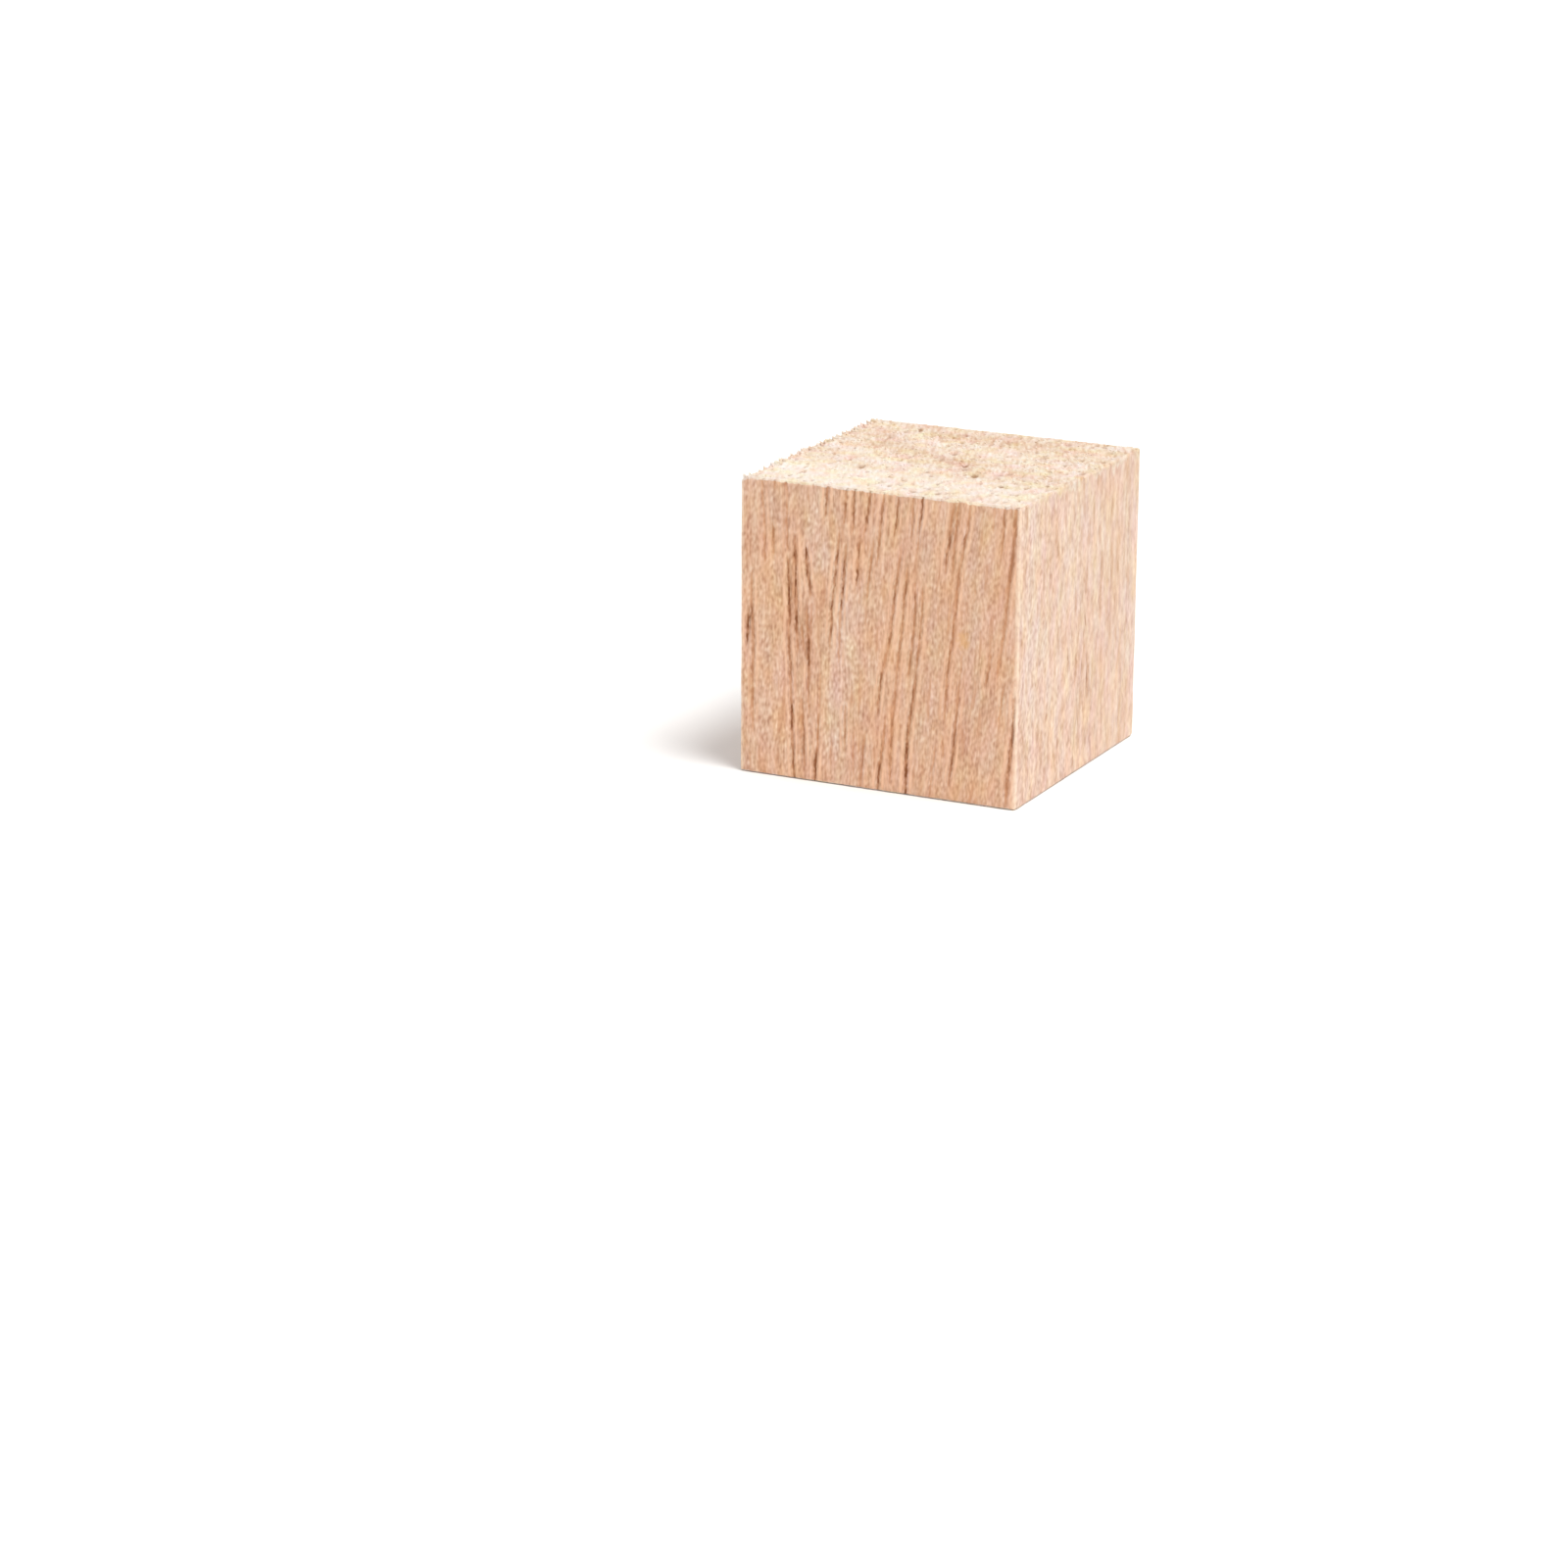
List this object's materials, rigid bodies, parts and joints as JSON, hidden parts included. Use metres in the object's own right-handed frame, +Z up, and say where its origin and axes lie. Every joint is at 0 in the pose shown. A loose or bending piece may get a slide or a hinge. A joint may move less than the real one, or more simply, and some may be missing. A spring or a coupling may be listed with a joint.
{
  "type": "wooden cube",
  "caption": "Solid cube of light, open-pored wood with planed sides, rough-sawn end grain on top and bottom, and barely eased edges.",
  "frame": {"origin": "centre of the bottom face", "axes": "+Z up along the grain, out of the sawn end-grain top; -Y out of the front face, which carries the darkest pore lines; +X out of the right face"},
  "size_m": [0.025, 0.025, 0.025],
  "materials": {
    "bare_wood": "matte"
  },
  "bodies": {
    "root": {"wooden_cube": "bare_wood"}
  },
  "joints": []
}
